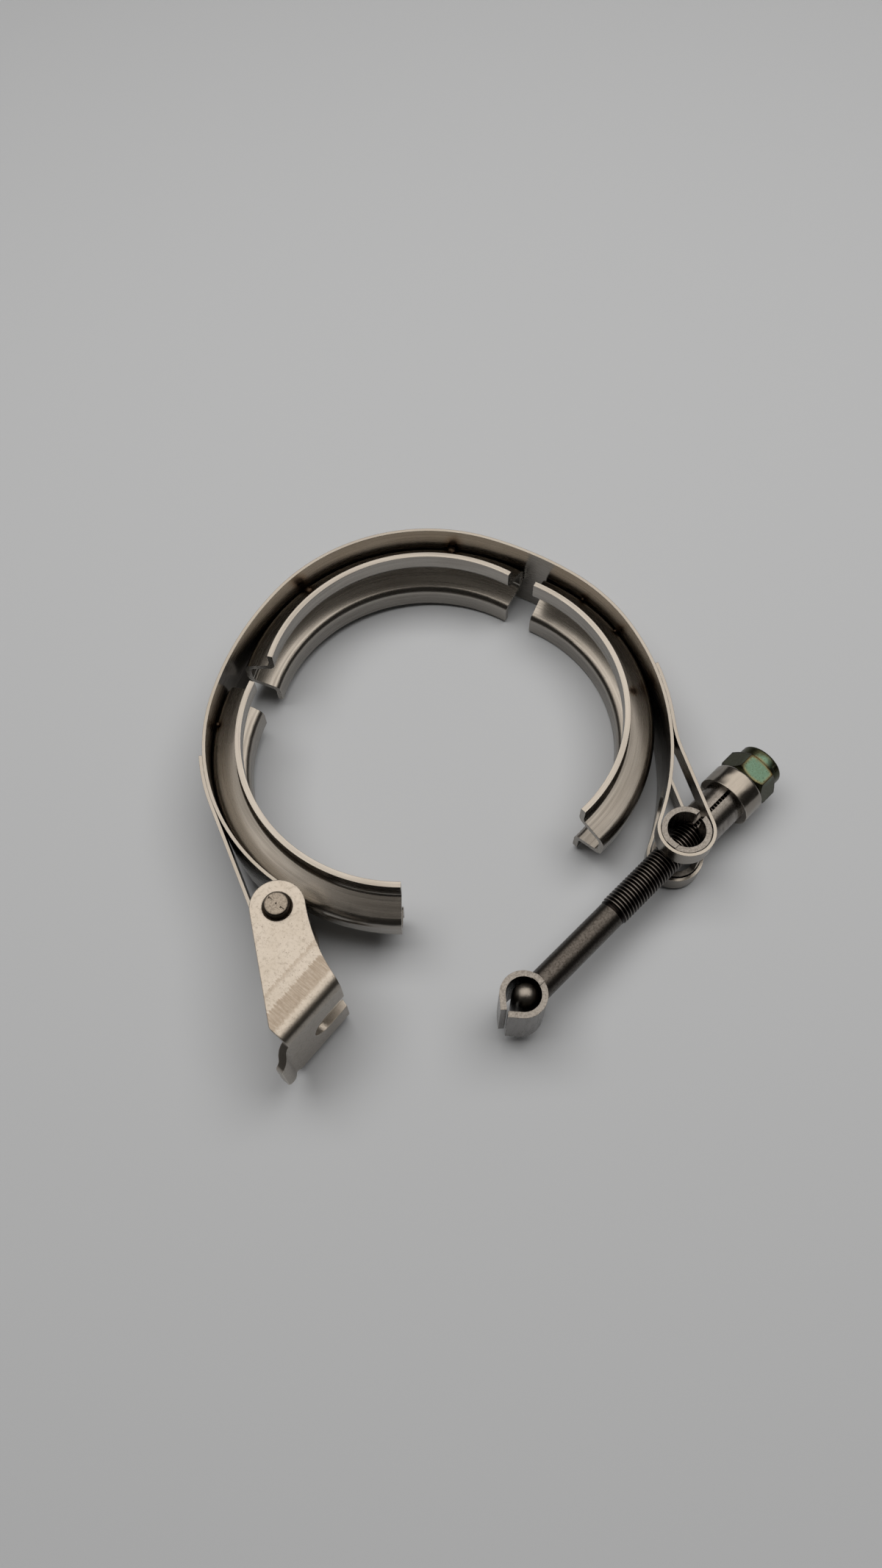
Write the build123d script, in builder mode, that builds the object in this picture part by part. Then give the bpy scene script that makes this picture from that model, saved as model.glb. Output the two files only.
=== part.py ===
"""Quick-release V band clamp, lying open: band of three V retainers, hinged latch, trunnion and T-bolt.

Millimetres. Z is the axis of the clamp, and Z = 0 is the middle of the band's width. The origin is the
centre of the top retainer's arc.
"""

import os
from math import asin, atan2, cos, degrees, radians, sin, sqrt, tan

from build123d import *

# Clearances
WELD_GAP = 0.05  # between faces that are welded, pressed or staked together
RUNNING_GAP = 0.08  # radial, round a pin that turns
THREAD_GAP = 0.05  # radial, between bolt and nut

# Retainers: a V groove pressed from sheet, opened towards the clamp's axis
RETAINER_SHEET = 1.5
LIP_RADIUS = 42.5  # inner face of the lips
LIP_TO_BACK = 7.6  # from the lips' inner face to the groove's floor
RETAINER_WIDTH = 22.4
LEG_ANGLE = 20.0  # of each leg from the plane of the clamp
GROOVE_MOUTH = 10.7  # groove width at the lips' inner face
ROOT_BEND = 1.75  # mid-sheet radius between lip and leg
BACK_BEND = 2.25  # mid-sheet radius between leg and back

# Where the three retainers lie when the clamp is open. Angles run from +X, about each retainer's own centre.
TOP_START = 56.3
TOP_TURN = 110.0
RIGHT_TURN = 108.6
LEFT_TURN = 110.0
RIGHT_SPREAD = 11.33  # from the top retainer's centre to the right one's
RIGHT_SPREAD_HEADING = -29.05
LEFT_SPREAD = 14.23
LEFT_SPREAD_HEADING = -114.95
RIGHT_GAP = 7.0  # along the groove's floor, to the top retainer
LEFT_GAP = 7.8

# Strap
STRAP_SHEET = 0.85
STRAP_SET_IN = 0.1  # of its edges from the retainers' edges
TOP_LEFT_BLEND = 13.2  # half of the turn of the free strap between the top and left retainers
TOP_RIGHT_BLEND = 8.0
RIGHT_RELEASE = 28.0  # where the strap leaves the right retainer
LEFT_RELEASE = 238.6  # where it turns off the left retainer into the latch loop
LEFT_TAIL_END = 187.0
LEG_RADIUS = 68.3  # mid-sheet radius of the free strap between right retainer and trunnion
LEG_TURN = 51.3
RIGHT_TAIL_HEADING = 105.0
TAIL_SET = 36.0  # radius of the set that lays the right tail flat on the strap
RIGHT_TAIL_TURN = 15.0  # how far the right tail lies on the strap

# Trunnion: one rolled sheet, a barrel with a split sleeve along the bolt
BARREL_RADIUS = 6.3
BARREL_SHEET = 1.45
BARREL_SET_IN = 0.3  # of its ends from the strap's edges
BARREL_PLAY = 0.25  # between the barrel and the strap loop
MOUTH_HEIGHT = 10.6  # of the mid band that is cut away for the bolt
MOUTH_EDGE = -0.2  # where that cut ends, along the bolt
SEAM_GAP = 1.9
TRUNNION_TAB_WIDTH = 2.7
TRUNNION_TAB_RISE = 0.45
BOLT_HEADING = 43.5
SLEEVE_BORE = 4.25
SLEEVE_SHEET = 1.5
SLEEVE_END = 23.3
SLEEVE_SLIT = 1.0
WINDOW_PLAY = 0.2  # between the sleeve and the edges of the strap's window
WINDOW_ON_LEG = 14.0  # end of the window on the inner leg, from the loop's centre
WINDOW_ON_TAIL = 26.7

# Ferrule: a drawn cap over the end of the sleeve
FERRULE_RADIUS = 7.5
FERRULE_LENGTH = 6.7
FERRULE_FLOOR = 1.2
FERRULE_NOSE = 0.8

# Bolt; stations run along it from the trunnion's axis
SHANK_RADIUS = 3.6
THREAD_RADIUS = 4.0
THREAD_START = -26.4
BOLT_END = 33.0
BOLT_CHAMFER = 0.8
BALL_RADIUS = 3.95

# T head: rolled sheet of tear-drop section, held on the shank by the bolt's ball
HEAD_STATION = -58.9
HEAD_RADIUS = 5.8
HEAD_SHEET = 1.5
HEAD_HEIGHT = 18.0
HEAD_PLAY = 0.1
BALL_SEAT = 0.5  # how far the ball is drawn towards the hole from the head's axis
HEAD_TAIL_ANGLE = 139.0  # where the round stretch ends and the straight tails start
HEAD_SEAM_GAP = 0.4
HEAD_TAB_WIDTH = 2.6
HEAD_TAB_RISE = 0.4

# Nut: hexagon with a crimped locking collar
NUT_SEAT_GAP = 0.1
ACROSS_FLATS = 13.0
HEX_HEIGHT = 6.2
HEX_FACE_RADIUS = 6.3
HEX_CHAMFER = 1.2
HEX_TURN = 11.5  # of a corner from the clamp's plane
COLLAR_RADIUS = 6.1
COLLAR_HEIGHT = 3.3
COLLAR_ROUND = 0.9
CRIMPS = 3
CRIMP_RADIUS = 2.5
CRIMP_DEPTH = 0.25
CRIMP_LENGTH = 2.0

# Latch, drawn with X towards the slotted web and Y along the web
LATCH_HEADING = -40.8
LATCH_SHEET = 2.0
LATCH_HEIGHT = 30.0
LATCH_BEND = 1.2  # inner radius
LATCH_EYE = 6.7
LATCH_REACH = 24.3
WEB_LOW = -22.6
EDGE_HEADING = -37.1  # of the straight lower edge of the cheeks
CHEEK_CORNER = 1.5
WAIST_START = 51.0
WAIST_RADIUS = 48.0
WAIST_TURN = 23.0
SLOT_WIDTH = 9.0
SLOT_BRIDGE = 7.3
LIP_DROP = 0.5  # below the web before the lip is bent
LIP_FLARE = 45.0
LIP_RISE = 0.4
LIP_RETURN = 42.0
LIP_LENGTH = 0.9
LIP_BEND = 1.5
LIP_ROOT_WIDTH = 23.0
LIP_TIP_WIDTH = 13.0
LIP_ROUND = 3.0

# Latch pin and bushing
PIN_RADIUS = 3.1
PIN_PROUD = 2.0
PIN_CHAMFER = 0.3
EYE_CHAMFER = 0.6
STAKE_LENGTH = 1.1
STAKE_WIDTH = 0.4
STAKE_DEPTH = 0.4
STAKE_OFFSET = 1.9
BUSHING_RADIUS = 5.5
BUSHING_END_GAP = 0.1

# Fits that follow from the sizes above
strap_width = RETAINER_WIDTH - 2 * STRAP_SET_IN
barrel_height = strap_width - 2 * BARREL_SET_IN
lip_mid_radius = LIP_RADIUS + RETAINER_SHEET / 2
back_mid_radius = lip_mid_radius + LIP_TO_BACK
strap_radius = back_mid_radius + RETAINER_SHEET / 2 + WELD_GAP + STRAP_SHEET / 2
tail_step = STRAP_SHEET + WELD_GAP
trunnion_loop = BARREL_RADIUS + BARREL_PLAY + STRAP_SHEET / 2
latch_loop = BUSHING_RADIUS + WELD_GAP + STRAP_SHEET / 2
sleeve_radius = SLEEVE_BORE + SLEEVE_SHEET
window_height = 2 * (sleeve_radius + WINDOW_PLAY)
ferrule_end = SLEEVE_END + WELD_GAP + FERRULE_FLOOR


def heading(angle):
    """Unit vector at an angle from +X in the clamp's plane."""
    return Vector(cos(radians(angle)), sin(radians(angle)))


def bearing(start, end):
    """Angle from +X of the way from one point to another."""
    return degrees(atan2(end.Y - start.Y, end.X - start.X))


def upright(origin, angle):
    """Plane with its X at an angle in the clamp's plane, and its Y along +Z."""
    return Plane(origin=origin, x_dir=heading(angle), z_dir=heading(angle - 90))


def across(origin, angle):
    """Plane square to an angle in the clamp's plane: its X points left of it, its Y along +Z."""
    return Plane(origin=origin, x_dir=heading(angle + 90), z_dir=heading(angle))


def flat(origin, angle, height=0):
    """Plane parallel to the clamp's plane, with its X at an angle."""
    return Plane(origin=origin + Vector(0, 0, height), x_dir=heading(angle), z_dir=(0, 0, 1))


def finish(piece, name):
    """Label a finished piece and write it."""
    piece.part.label = name
    export_step(piece.part, f"parts/{name}.step")


top_centre = Vector(0, 0)
right_centre = top_centre + heading(RIGHT_SPREAD_HEADING) * RIGHT_SPREAD
left_centre = top_centre + heading(LEFT_SPREAD_HEADING) * LEFT_SPREAD
top_end = TOP_START + TOP_TURN
right_end = bearing(right_centre, top_centre + heading(TOP_START) * back_mid_radius)
right_end = right_end - degrees(RIGHT_GAP / back_mid_radius)
left_start = bearing(left_centre, top_centre + heading(top_end) * back_mid_radius)
left_start = left_start + degrees(LEFT_GAP / back_mid_radius)

# Axes of the two strap loops, set by the free strap that leads to them
leg_centre = right_centre - heading(RIGHT_RELEASE) * (LEG_RADIUS - strap_radius)
trunnion_axis = leg_centre + heading(RIGHT_RELEASE - LEG_TURN) * (LEG_RADIUS + trunnion_loop)
pin_axis = left_centre + heading(LEFT_RELEASE) * (strap_radius + latch_loop)
bolt_axis = Axis(trunnion_axis, heading(BOLT_HEADING))

os.makedirs("parts", exist_ok=True)


def retainer(centre, start, turn):
    """One V segment: its section bent up from sheet and turned about its own centre."""
    lean = radians(LEG_ANGLE)
    root = GROOVE_MOUTH / 2 + RETAINER_SHEET / 2 / cos(lean) - RETAINER_SHEET / 2 * tan(lean)
    shoulder = root - LIP_TO_BACK * tan(lean)
    upper = [(lip_mid_radius, RETAINER_WIDTH / 2), (lip_mid_radius, root), (back_mid_radius, shoulder)]
    lower = [(r, -z) for r, z in reversed(upper)]
    with BuildPart() as segment:
        with BuildSketch(upright(centre, start)):
            with BuildLine():
                FilletPolyline(*upper, *lower, radius=[ROOT_BEND, BACK_BEND, BACK_BEND, ROOT_BEND])
            trace(line_width=RETAINER_SHEET)
        revolve(axis=Axis(centre, (0, 0, 1)), revolution_arc=turn)
    return segment


finish(retainer(top_centre, TOP_START, TOP_TURN), "retainer_top")
finish(retainer(right_centre, right_end - RIGHT_TURN, RIGHT_TURN), "retainer_right")
finish(retainer(left_centre, left_start, LEFT_TURN), "retainer_left")


# Strap. Its middle line runs from the left tail round the latch pin, over the retainers, round the
# trunnion and up to the right tail, and every stretch leaves the one before it along its tangent.
left_tail_radius = strap_radius + tail_step
left_loop_distance = strap_radius + latch_loop
left_rise = left_tail_radius - latch_loop
left_join = LEFT_RELEASE - 90 + degrees(asin(left_rise / left_loop_distance))
left_run = sqrt(left_loop_distance**2 - left_rise**2)
left_blend_middle = bearing(left_centre, top_centre) + 90
right_blend_middle = bearing(top_centre, right_centre) + 90

right_tail_radius = LEG_RADIUS + tail_step
to_leg_centre = leg_centre - trunnion_axis
set_distance = right_tail_radius + TAIL_SET
set_side = trunnion_loop + TAIL_SET - to_leg_centre.dot(heading(RIGHT_TAIL_HEADING - 90))
right_run = to_leg_centre.dot(heading(RIGHT_TAIL_HEADING)) - sqrt(set_distance**2 - set_side**2)
set_turn = degrees(asin(sqrt(1 - (set_side / set_distance) ** 2)))


def blend_radius(centre_a, centre_b, half_turn):
    """Mid-sheet radius of the free strap that bridges two retainers."""
    return strap_radius + (centre_b - centre_a).length / 2 / sin(radians(half_turn))


def bend(before, radius, turn):
    """Arc that goes on from the end of another stretch, to the left where its turn is positive."""
    return JernArc(before @ 1, before % 1, radius, turn)


def straight(before, length):
    """Straight stretch that goes on from the end of another."""
    return Line(before @ 1, before @ 1 + (before % 1) * length)


with BuildPart() as strap:
    with BuildSketch():
        with BuildLine():
            line = CenterArc(left_centre, left_tail_radius, LEFT_TAIL_END, left_join - LEFT_TAIL_END)
            line = straight(line, left_run)
            line = bend(line, latch_loop, LEFT_RELEASE + 180 - left_join)
            line = bend(line, strap_radius, left_blend_middle + TOP_LEFT_BLEND - LEFT_RELEASE)
            line = bend(line, blend_radius(left_centre, top_centre, TOP_LEFT_BLEND), -2 * TOP_LEFT_BLEND)
            top_turn = left_blend_middle - TOP_LEFT_BLEND - right_blend_middle - TOP_RIGHT_BLEND
            line = bend(line, strap_radius, -top_turn)
            line = bend(line, blend_radius(top_centre, right_centre, TOP_RIGHT_BLEND), -2 * TOP_RIGHT_BLEND)
            line = bend(line, strap_radius, RIGHT_RELEASE - right_blend_middle + TOP_RIGHT_BLEND)
            line = bend(line, LEG_RADIUS, -LEG_TURN)
            line = bend(line, trunnion_loop, RIGHT_TAIL_HEADING + 90 + LEG_TURN - RIGHT_RELEASE)
            line = straight(line, right_run)
            line = bend(line, TAIL_SET, -set_turn)
            line = bend(line, right_tail_radius, RIGHT_TAIL_TURN)
        trace(line_width=STRAP_SHEET)
    extrude(amount=strap_width / 2, both=True)
    # Window for the bolt and the sleeve, cut round the trunnion loop and up both its arms
    with Locations(trunnion_axis):
        Cylinder(trunnion_loop + STRAP_SHEET, window_height, mode=Mode.SUBTRACT)
    leg_heading = RIGHT_RELEASE - LEG_TURN + 90
    for arm_heading, reach, side in ((leg_heading, WINDOW_ON_LEG, -1), (RIGHT_TAIL_HEADING, WINDOW_ON_TAIL, 1)):
        arm_face = trunnion_axis + heading(arm_heading - 90) * side * BARREL_RADIUS
        with BuildSketch(upright(arm_face, arm_heading)):
            with Locations(((reach - window_height / 2) / 2, 0)):
                SlotOverall(reach + window_height / 2, window_height)
        extrude(amount=side * trunnion_loop, mode=Mode.SUBTRACT)
finish(strap, "strap")


# Trunnion: barrel and sleeve as one shell, open towards the T head and split along its seam
with BuildPart() as trunnion:
    with Locations(trunnion_axis):
        Cylinder(BARREL_RADIUS, barrel_height)
    with BuildSketch(across(trunnion_axis, BOLT_HEADING)):
        Circle(sleeve_radius)
    extrude(amount=SLEEVE_END)
    with Locations(trunnion_axis):
        Cylinder(BARREL_RADIUS - BARREL_SHEET, barrel_height, mode=Mode.SUBTRACT)
    with BuildSketch(across(trunnion_axis, BOLT_HEADING)):
        Circle(SLEEVE_BORE)
    extrude(amount=SLEEVE_END, mode=Mode.SUBTRACT)
    with BuildSketch(across(trunnion_axis + heading(BOLT_HEADING) * MOUTH_EDGE, BOLT_HEADING)):
        Rectangle(2 * BARREL_RADIUS, MOUTH_HEIGHT)
    extrude(amount=-BARREL_RADIUS, mode=Mode.SUBTRACT)
    # Seam: wide in the two rings, narrow along the top and the bottom of the sleeve
    with BuildSketch(flat(trunnion_axis, BOLT_HEADING)):
        with Locations((SLEEVE_END / 2, 0)):
            Rectangle(SLEEVE_END, SLEEVE_SLIT)
    extrude(amount=barrel_height / 2, both=True, mode=Mode.SUBTRACT)
    for side in (-1, 1):
        with BuildSketch(flat(trunnion_axis, BOLT_HEADING, side * barrel_height / 2)):
            with Locations((BARREL_RADIUS / 2, 0)):
                Rectangle(BARREL_RADIUS, SEAM_GAP)
        extrude(amount=-side * (barrel_height / 2 - sleeve_radius), mode=Mode.SUBTRACT)
    # Stub where the blank was cut from its strip
    with BuildSketch(flat(trunnion_axis, BOLT_HEADING, barrel_height / 2)):
        Circle(BARREL_RADIUS)
        Circle(BARREL_RADIUS - BARREL_SHEET, mode=Mode.SUBTRACT)
        with Locations((-BARREL_RADIUS, 0)):
            Rectangle(BARREL_RADIUS, TRUNNION_TAB_WIDTH, mode=Mode.INTERSECT)
    extrude(amount=TRUNNION_TAB_RISE)
finish(trunnion, "trunnion")


# Ferrule
with BuildPart() as ferrule:
    with BuildSketch(flat(trunnion_axis, BOLT_HEADING)):
        with BuildLine():
            bore = sleeve_radius + WELD_GAP
            rim = ferrule_end - FERRULE_LENGTH
            floor = ferrule_end - FERRULE_FLOOR
            Polyline((rim, bore), (rim, FERRULE_RADIUS), (ferrule_end - FERRULE_NOSE, FERRULE_RADIUS))
            RadiusArc((ferrule_end - FERRULE_NOSE, FERRULE_RADIUS),
                      (ferrule_end, FERRULE_RADIUS - FERRULE_NOSE), FERRULE_NOSE)
            Polyline((ferrule_end, FERRULE_RADIUS - FERRULE_NOSE), (ferrule_end, SLEEVE_BORE),
                     (floor, SLEEVE_BORE), (floor, bore), (rim, bore))
        make_face()
    revolve(axis=bolt_axis)
finish(ferrule, "ferrule")


# T-bolt: ball head, plain shank and thread
ball_station = HEAD_STATION + BALL_SEAT
neck = ball_station + sqrt(BALL_RADIUS**2 - SHANK_RADIUS**2)
with BuildPart() as t_bolt:
    with BuildSketch(flat(trunnion_axis, BOLT_HEADING)):
        with BuildLine():
            ThreePointArc((ball_station - BALL_RADIUS, 0), (ball_station, BALL_RADIUS), (neck, SHANK_RADIUS))
            Polyline(
                (neck, SHANK_RADIUS),
                (THREAD_START, SHANK_RADIUS),
                (THREAD_START + THREAD_RADIUS - SHANK_RADIUS, THREAD_RADIUS),
                (BOLT_END - BOLT_CHAMFER, THREAD_RADIUS),
                (BOLT_END, THREAD_RADIUS - BOLT_CHAMFER),
                (BOLT_END, 0),
                (ball_station - BALL_RADIUS, 0),
            )
        make_face()
    revolve(axis=bolt_axis)
finish(t_bolt, "t_bolt")


# T head
head_centre = trunnion_axis + heading(BOLT_HEADING) * HEAD_STATION
with BuildPart() as t_head:
    head_bore = HEAD_RADIUS - HEAD_SHEET
    tail_lean = radians(HEAD_TAIL_ANGLE)
    tail_length = (head_bore * sin(tail_lean) - HEAD_SEAM_GAP / 2) / -cos(tail_lean)
    with BuildSketch(flat(head_centre, BOLT_HEADING)):
        with BuildLine():
            wrap = CenterArc((0, 0), HEAD_RADIUS - HEAD_SHEET / 2, -HEAD_TAIL_ANGLE, 2 * HEAD_TAIL_ANGLE)
            Line(wrap @ 0, wrap @ 0 - (wrap % 0) * tail_length)
            straight(wrap, tail_length)
        trace(line_width=HEAD_SHEET)
    extrude(amount=HEAD_HEIGHT / 2, both=True)
    with BuildSketch(across(head_centre, BOLT_HEADING)):
        Circle(SHANK_RADIUS + HEAD_PLAY)
    extrude(amount=HEAD_RADIUS + HEAD_SHEET, mode=Mode.SUBTRACT)
    with BuildSketch(flat(head_centre, BOLT_HEADING, HEAD_HEIGHT / 2)):
        Circle(HEAD_RADIUS)
        Circle(head_bore, mode=Mode.SUBTRACT)
        with Locations((HEAD_RADIUS, 0)):
            Rectangle(HEAD_RADIUS, HEAD_TAB_WIDTH, mode=Mode.INTERSECT)
    extrude(amount=HEAD_TAB_RISE)
finish(t_head, "t_head")


# Nut
nut_seat = trunnion_axis + heading(BOLT_HEADING) * (ferrule_end + NUT_SEAT_GAP)
nut_height = HEX_HEIGHT + COLLAR_HEIGHT
with BuildPart() as nut:
    with BuildSketch(across(nut_seat, BOLT_HEADING)):
        RegularPolygon(ACROSS_FLATS / 2, 6, major_radius=False, rotation=HEX_TURN)
    extrude(amount=nut_height)
    with BuildSketch(flat(nut_seat, BOLT_HEADING)):
        with BuildLine():
            corner = ACROSS_FLATS / 2 / cos(radians(30))
            Polyline(
                (0, 0),
                (0, HEX_FACE_RADIUS),
                (HEX_CHAMFER, corner),
                (HEX_HEIGHT - HEX_CHAMFER / 2, corner),
                (HEX_HEIGHT, HEX_FACE_RADIUS),
                (HEX_HEIGHT, COLLAR_RADIUS),
                (nut_height - COLLAR_ROUND, COLLAR_RADIUS),
            )
            RadiusArc((nut_height - COLLAR_ROUND, COLLAR_RADIUS),
                      (nut_height, COLLAR_RADIUS - COLLAR_ROUND), COLLAR_ROUND)
            Polyline((nut_height, COLLAR_RADIUS - COLLAR_ROUND), (nut_height, 0), (0, 0))
        make_face()
    revolve(axis=bolt_axis, mode=Mode.INTERSECT)
    with BuildSketch(across(nut_seat, BOLT_HEADING)):
        Circle(THREAD_RADIUS + THREAD_GAP)
    extrude(amount=nut_height, mode=Mode.SUBTRACT)
    with BuildSketch(across(nut_seat + heading(BOLT_HEADING) * nut_height, BOLT_HEADING)):
        with PolarLocations(COLLAR_RADIUS - CRIMP_DEPTH + CRIMP_RADIUS, CRIMPS, start_angle=HEX_TURN):
            Circle(CRIMP_RADIUS)
    extrude(amount=-CRIMP_LENGTH, mode=Mode.SUBTRACT)
finish(nut, "nut")


# Thumb lip of the latch, bent out of the web, bent back beside it and cut to a rounded taper
web_middle = LATCH_REACH - LATCH_SHEET / 2
web_face = pin_axis + heading(LATCH_HEADING) * LATCH_REACH
with BuildPart() as lip:
    with BuildSketch(flat(pin_axis, LATCH_HEADING)):
        with BuildLine():
            drop = Line((web_middle, WEB_LOW), (web_middle, WEB_LOW - LIP_DROP))
            flare = bend(drop, LIP_BEND + LATCH_SHEET / 2, LIP_FLARE)
            rise = straight(flare, LIP_RISE)
            settle = bend(rise, LIP_BEND + LATCH_SHEET / 2, -LIP_RETURN)
            blade = straight(settle, LIP_LENGTH)
        trace(line_width=LATCH_SHEET)
    extrude(amount=LIP_ROOT_WIDTH / 2, both=True)
    lip_tip = (blade @ 1).Y - LATCH_SHEET / 2 * sin(radians(LIP_FLARE - LIP_RETURN))
    with BuildSketch(across(web_face, LATCH_HEADING)) as lip_front:
        with BuildLine():
            half_root = LIP_ROOT_WIDTH / 2
            half_tip = LIP_TIP_WIDTH / 2
            Polyline((WEB_LOW, half_root), (lip_tip, half_tip), (lip_tip, -half_tip),
                     (WEB_LOW, -half_root), close=True)
        make_face()
        fillet(lip_front.vertices().group_by(Axis.X)[0], LIP_ROUND)
    extrude(amount=LATCH_REACH, both=True, mode=Mode.INTERSECT)

# Latch: cheeks and web bent to a U, cut to the outline of the cheeks
with BuildPart() as latch:
    cheek_middle = (LATCH_HEIGHT - LATCH_SHEET) / 2
    with BuildSketch(upright(pin_axis, LATCH_HEADING)):
        with BuildLine():
            FilletPolyline(
                (-LATCH_EYE, cheek_middle),
                (web_middle, cheek_middle),
                (web_middle, -cheek_middle),
                (-LATCH_EYE, -cheek_middle),
                radius=LATCH_BEND + LATCH_SHEET / 2,
            )
        trace(line_width=LATCH_SHEET)
    extrude(amount=-WEB_LOW, both=True)
    with BuildSketch(flat(pin_axis, LATCH_HEADING)):
        with BuildLine():
            edge_start = heading(EDGE_HEADING - 90) * LATCH_EYE
            edge_run = (WEB_LOW - edge_start.Y) / sin(radians(EDGE_HEADING))
            edge_end = edge_start + heading(EDGE_HEADING) * edge_run
            FilletPolyline(edge_start, edge_end, (LATCH_REACH, WEB_LOW), radius=CHEEK_CORNER)
            CenterArc((0, 0), LATCH_EYE, WAIST_START, 270 + EDGE_HEADING - WAIST_START)
            waist = JernArc(heading(WAIST_START) * LATCH_EYE, heading(WAIST_START - 90), WAIST_RADIUS, WAIST_TURN)
            brow = straight(waist, (LATCH_REACH - (waist @ 1).X) / (waist % 1).X)
            Line(brow @ 1, (LATCH_REACH, WEB_LOW))
        make_face()
    extrude(amount=LATCH_HEIGHT / 2, both=True, mode=Mode.INTERSECT)
    web_top = (brow @ 1).Y
    slot_end = WEB_LOW + SLOT_BRIDGE
    slot_length = web_top - slot_end + SLOT_WIDTH
    with BuildSketch(across(web_face, LATCH_HEADING)):
        with Locations((slot_end + slot_length / 2, 0)):
            SlotOverall(slot_length, SLOT_WIDTH)
    extrude(amount=-LATCH_SHEET, mode=Mode.SUBTRACT)
    add(lip.part)
    with Locations(pin_axis):
        Cylinder(PIN_RADIUS + WELD_GAP, LATCH_HEIGHT, mode=Mode.SUBTRACT)
    eye_rims = latch.edges(Select.LAST).filter_by(GeomType.CIRCLE).sort_by(Axis.Z)
    chamfer([eye_rims[0], eye_rims[-1]], EYE_CHAMFER)
finish(latch, "latch")


# Latch pin, with a centre mark and two stake marks in each end
with BuildPart() as latch_pin:
    pin_half = LATCH_HEIGHT / 2 + PIN_PROUD
    with Locations(pin_axis):
        Cylinder(PIN_RADIUS, 2 * pin_half)
    chamfer(latch_pin.edges().filter_by(GeomType.CIRCLE), PIN_CHAMFER)
    for side in (-1, 1):
        with BuildSketch(flat(pin_axis, LATCH_HEADING, side * pin_half)):
            Circle(STAKE_WIDTH / 2)
            with PolarLocations(STAKE_OFFSET, 2):
                Rectangle(STAKE_LENGTH, STAKE_WIDTH)
        extrude(amount=-side * STAKE_DEPTH, mode=Mode.SUBTRACT)
finish(latch_pin, "latch_pin")


# Bushing in the latch loop
with BuildPart() as latch_bushing:
    bushing_height = LATCH_HEIGHT - 2 * LATCH_SHEET - 2 * BUSHING_END_GAP
    with Locations(pin_axis):
        Cylinder(BUSHING_RADIUS, bushing_height)
        Cylinder(PIN_RADIUS + RUNNING_GAP, bushing_height, mode=Mode.SUBTRACT)
finish(latch_bushing, "latch_bushing")
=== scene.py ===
"""Looks of a quick-release V band clamp: finishes of its pieces, the threaded bolt, and the stage."""

import math

import bmesh
import bpy
from bpy.props import FloatProperty, FloatVectorProperty, IntProperty, PointerProperty
from mathutils import Matrix, Vector


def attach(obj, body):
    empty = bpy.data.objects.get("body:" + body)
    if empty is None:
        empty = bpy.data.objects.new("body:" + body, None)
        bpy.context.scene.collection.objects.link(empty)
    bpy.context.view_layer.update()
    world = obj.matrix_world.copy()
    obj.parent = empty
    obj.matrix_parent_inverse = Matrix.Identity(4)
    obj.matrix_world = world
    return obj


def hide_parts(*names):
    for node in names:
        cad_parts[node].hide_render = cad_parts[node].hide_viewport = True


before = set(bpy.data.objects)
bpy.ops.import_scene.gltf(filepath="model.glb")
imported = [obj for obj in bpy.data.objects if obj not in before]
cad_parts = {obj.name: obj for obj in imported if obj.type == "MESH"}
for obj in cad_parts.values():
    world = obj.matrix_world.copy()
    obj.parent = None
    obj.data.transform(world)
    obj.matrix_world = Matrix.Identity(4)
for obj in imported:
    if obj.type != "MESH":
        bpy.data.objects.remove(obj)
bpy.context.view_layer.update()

bl_info = {
    "name": "V Band Clamp",
    "version": (1, 0, 0),
    "blender": (4, 5, 0),
    "location": "View3D > Sidebar > V Band Clamp",
    "description": "Finishes, threaded bolt and stage for a quick-release V band clamp",
    "category": "Object",
}

MM = 0.001

# Places on the clamp, in millimetres in the clamp's frame
TOP_CENTRE = (0.0, 0.0)
RIGHT_CENTRE = (9.905, -5.502)
LEFT_CENTRE = (-6.003, -12.902)
TRUNNION_AXIS = (64.7149, -42.8934)
PIN_AXIS = (-36.2472, -62.4506)
BOLT_HEADING = math.radians(43.5)
LATCH_HEADING = math.radians(-40.8)

# Bolt stations along its axis from the trunnion, and radii
BAR_STATION = -58.3
BAR_RADIUS = 3.2
BAR_HALF = 5.8  # of the cross bar, without its round ends
NECK_RADIUS = 3.0
SHANK_RADIUS = 3.6
THREAD_START = -26.4
BOLT_END = 33.0
CENTRE_RADIUS = 2.4  # of the shallow centre in the bolt's end
RUN_OUT = 1.4  # of the thread on to the shank
END_CHAMFER = 0.8

RETAINERS = {"retainer_top": TOP_CENTRE, "retainer_right": RIGHT_CENTRE, "retainer_left": LEFT_CENTRE}

# Heat marks of the spot welds, each a place and a radius in millimetres
HEAT_MARKS = (
    ((8.1, 49.9, 4.3), 2.6),
    ((-33.1, 36.8, 4.3), 2.6),
    ((-56.2, -6.4, 4.3), 1.7),
    ((44.9, 31.9, 4.2), 1.5),
    ((53.1, 20.8, 4.3), 1.5),
    ((56.2, 0.6, 5.4), 1.7),
    ((60.8, 3.2, 6.5), 3.0),
)

# Beads of metal thrown out by the welds, on the retainers' backs
BEADS = (
    ((8.1, 49.9, 4.2), 1.25),
    ((-33.1, 36.8, 4.2), 1.25),
    ((-56.2, -6.4, 4.2), 0.6),
    ((45.0, 32.0, 4.0), 0.5),
    ((53.2, 20.9, 4.1), 0.5),
)
# The facet that faces the light: its teal is partly the film's colour and partly a painted highlight.
LIT_TEAL_FACET = (86.56, -24.16, 6.13)  # middle of the nut's facet that has turned teal
BACK_ARC = 50.0  # radius at which lengths round a retainer are measured

# Floor, which the lower end of the latch pin and the band's lower edge lie on, and the lamp over it
FLOOR_UP = (-0.04356945, -0.02453619, 0.99874906)
FLOOR_FOOT = (-33.75617, -61.17206, -17.02)
FLOOR_HALF = 4.0  # metres
LAMP_PLACE = (0.0, 0.11, 0.8)  # metres
LAMP_SIZE = (1.1, 0.55)  # metres

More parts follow.
